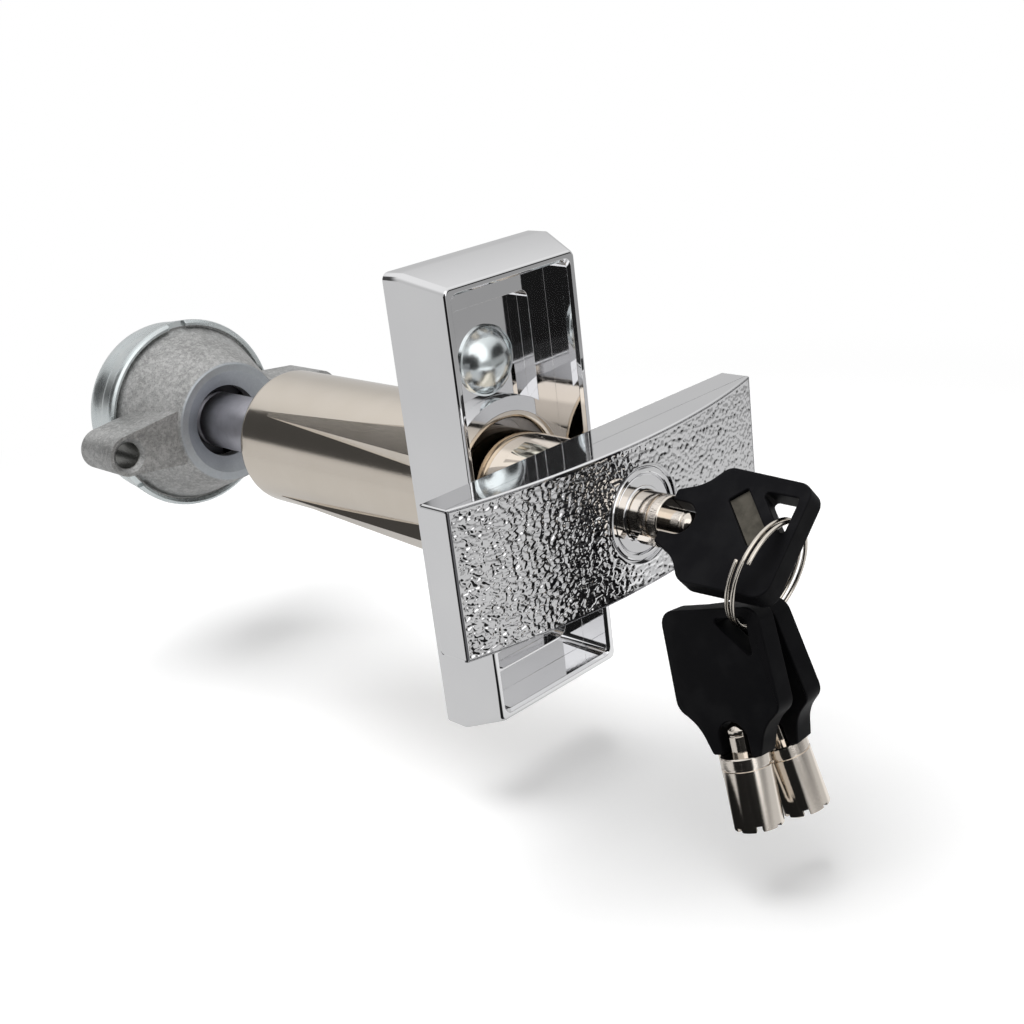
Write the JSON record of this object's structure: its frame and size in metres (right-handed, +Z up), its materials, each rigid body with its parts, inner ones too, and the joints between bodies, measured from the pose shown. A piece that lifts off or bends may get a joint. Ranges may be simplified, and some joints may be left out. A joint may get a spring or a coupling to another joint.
{
  "type": "pop-out T-handle lock",
  "caption": "Pop-out T-handle lock with a tubular key lock, a split key ring with spare keys, and a threaded rod into a split-nut receiver.",
  "frame": {"origin": "centre of the escutcheon's rear face, on the lock's axis, where the barrel passes through the door's opening", "axes": "+Y along the lock's axis into the cabinet, -Y towards the user, +Z up, +X to the right as the user sees it; the handle stands out, turned across the escutcheon"},
  "size_m": [0.089, 0.2165, 0.1071],
  "materials": {
    "chrome": "polished chrome plate over the casting",
    "textured_chrome": "chrome plate with a crinkled front and smooth sides",
    "plated_barrel": "satin nickel plate",
    "rod_steel": "turned steel, plain grey",
    "bearing_bronze": "sintered bronze",
    "hard_steel": "hardened steel",
    "black_oxide": "hardened steel, blacked and oiled",
    "spring_steel": "oiled spring wire",
    "lock_chrome": "chrome plate with a turned face",
    "brass": "machined brass",
    "key_nickel": "bright nickel plate",
    "black_plastic": "fine satin moulding",
    "key_plate_metal": "stamped plate, dull",
    "ring_nickel": "nickel-plated wire",
    "raw_casting": "raw zinc-grey casting, as cast",
    "zinc": "zinc-plated sheet",
    "bright_zinc": "bright zinc plate"
  },
  "bodies": {
    "housing": {"escutcheon": "chrome", "barrel": "plated_barrel", "catch_ring": "hard_steel", "guide_bush": "bearing_bronze", "rod_bush": "bearing_bronze", "pop_out_spring": "spring_steel", "fixing_bolt": "bright_zinc", "fixing_washer": "bright_zinc", "fixing_nut": "bright_zinc"},
    "pop_carriage": {"thrust_washer": "hard_steel"},
    "handle": {"t_handle": "textured_chrome", "threaded_rod": "rod_steel", "rod_cross_pin": "rod_steel", "lock_shell": "lock_chrome", "lock_rear_cap": "brass", "lock_retaining_pin": "hard_steel", "sleeve_pin": "hard_steel", "pin_sleeve": "brass", "driver_springs": "spring_steel", "latch_spring": "spring_steel"},
    "plug": {"plug": "brass", "latch_cam": "hard_steel"},
    "latch": {"latch_bolt": "hard_steel"},
    "key_pins": {"key_pins": "brass"},
    "driver_pins": {"driver_pins": "brass"},
    "key": {"key_tube": "key_nickel", "key_bow": "black_plastic", "key_plate": "key_plate_metal"},
    "ring": {"split_ring": "ring_nickel"},
    "spare_key_a": {"spare_key_a_tube": "key_nickel", "spare_key_a_bow": "black_plastic", "spare_key_a_plate": "key_plate_metal"},
    "spare_key_b": {"spare_key_b_tube": "key_nickel", "spare_key_b_bow": "black_plastic", "spare_key_b_plate": "key_plate_metal"},
    "receiver": {"receiver_casting": "raw_casting", "receiver_cover": "zinc", "segment_spring": "spring_steel"},
    "nut_segment_1": {"nut_segment_1": "black_oxide"},
    "nut_segment_2": {"nut_segment_2": "black_oxide"},
    "nut_segment_3": {"nut_segment_3": "black_oxide"},
    "pressure_plate": {"pressure_plate": "black_oxide"}
  },
  "joints": [
    {"name": "handle_push", "type": "slide", "parent": "housing", "child": "pop_carriage", "axis": [0, 1, 0], "range_m": [0, 0.015], "stiffness_N_per_m": 600, "springref_m": -0.008, "deforming": ["pop_out_spring"]},
    {"name": "handle_turn", "type": "hinge", "parent": "pop_carriage", "child": "handle", "pos_m": [0, 0, 0], "axis": [0, 1, 0], "range_deg": [-1440, 1080]},
    {"name": "receiver_travel", "type": "slide", "parent": "pop_carriage", "child": "receiver", "axis": [0, 1, 0], "range_m": [-0.0064, 0.0085]},
    {"name": "key_turn", "type": "hinge", "parent": "handle", "child": "plug", "pos_m": [0, 0, 0], "axis": [0, 1, 0], "range_deg": [0, 90]},
    {"name": "latch_draw", "type": "slide", "parent": "handle", "child": "latch", "axis": [0, 0, 1], "range_m": [0, 0.00397], "deforming": ["latch_spring"]},
    {"name": "key_out", "type": "slide", "parent": "plug", "child": "key", "axis": [0, -1, 0], "range_m": [0, 0.012]},
    {"name": "key_pins_rise", "type": "slide", "parent": "plug", "child": "key_pins", "axis": [0, -1, 0], "range_m": [0, 0.0024]},
    {"name": "driver_pins_press", "type": "slide", "parent": "handle", "child": "driver_pins", "axis": [0, 1, 0], "range_m": [0, 0.0012], "stiffness_N_per_m": 300, "springref_m": -0.002, "deforming": ["driver_springs"]},
    {"name": "ring_swing", "type": "hinge", "parent": "key", "child": "ring", "pos_m": [-0.0006, -0.07485, 0.0042], "axis": [1, 0, 0], "range_deg": [-14, 8]},
    {"name": "spare_key_a_swing", "type": "hinge", "parent": "ring", "child": "spare_key_a", "pos_m": [-0.0055, -0.07051, -0.01554], "axis": [1, 0, 0], "range_deg": [-10, 10]},
    {"name": "spare_key_b_swing", "type": "hinge", "parent": "ring", "child": "spare_key_b", "pos_m": [0.0009, -0.07028, -0.0166], "axis": [1, 0, 0], "range_deg": [-10, 10]},
    {"name": "nut_segment_1_open", "type": "slide", "parent": "receiver", "child": "nut_segment_1", "axis": [0, 0.8909, 0.4542], "range_m": [0, 0.002], "stiffness_N_per_m": 500, "springref_m": -0.004, "deforming": ["segment_spring"]},
    {"name": "nut_segment_2_open", "type": "slide", "parent": "receiver", "child": "nut_segment_2", "axis": [-0.3933, 0.8909, -0.2271], "range_m": [0, 0.002]},
    {"name": "nut_segment_3_open", "type": "slide", "parent": "receiver", "child": "nut_segment_3", "axis": [0.3933, 0.8909, -0.2271], "range_m": [0, 0.002]},
    {"name": "pressure_plate_back", "type": "slide", "parent": "receiver", "child": "pressure_plate", "axis": [0, 1, 0], "range_m": [0, 0.0018]}
  ],
  "couplings": [
    {"joint": "receiver_travel", "follows": "handle_turn", "m_per_rad": -0.00033693},
    {"joint": "latch_draw", "follows": "key_turn", "m_per_rad": 0.0025209},
    {"joint": "key_pins_rise", "follows": "key_out", "ratio": 0.2},
    {"joint": "nut_segment_2_open", "follows": "nut_segment_1_open", "ratio": 1},
    {"joint": "nut_segment_3_open", "follows": "nut_segment_1_open", "ratio": 1},
    {"joint": "pressure_plate_back", "follows": "nut_segment_1_open", "ratio": 0.89091}
  ]
}
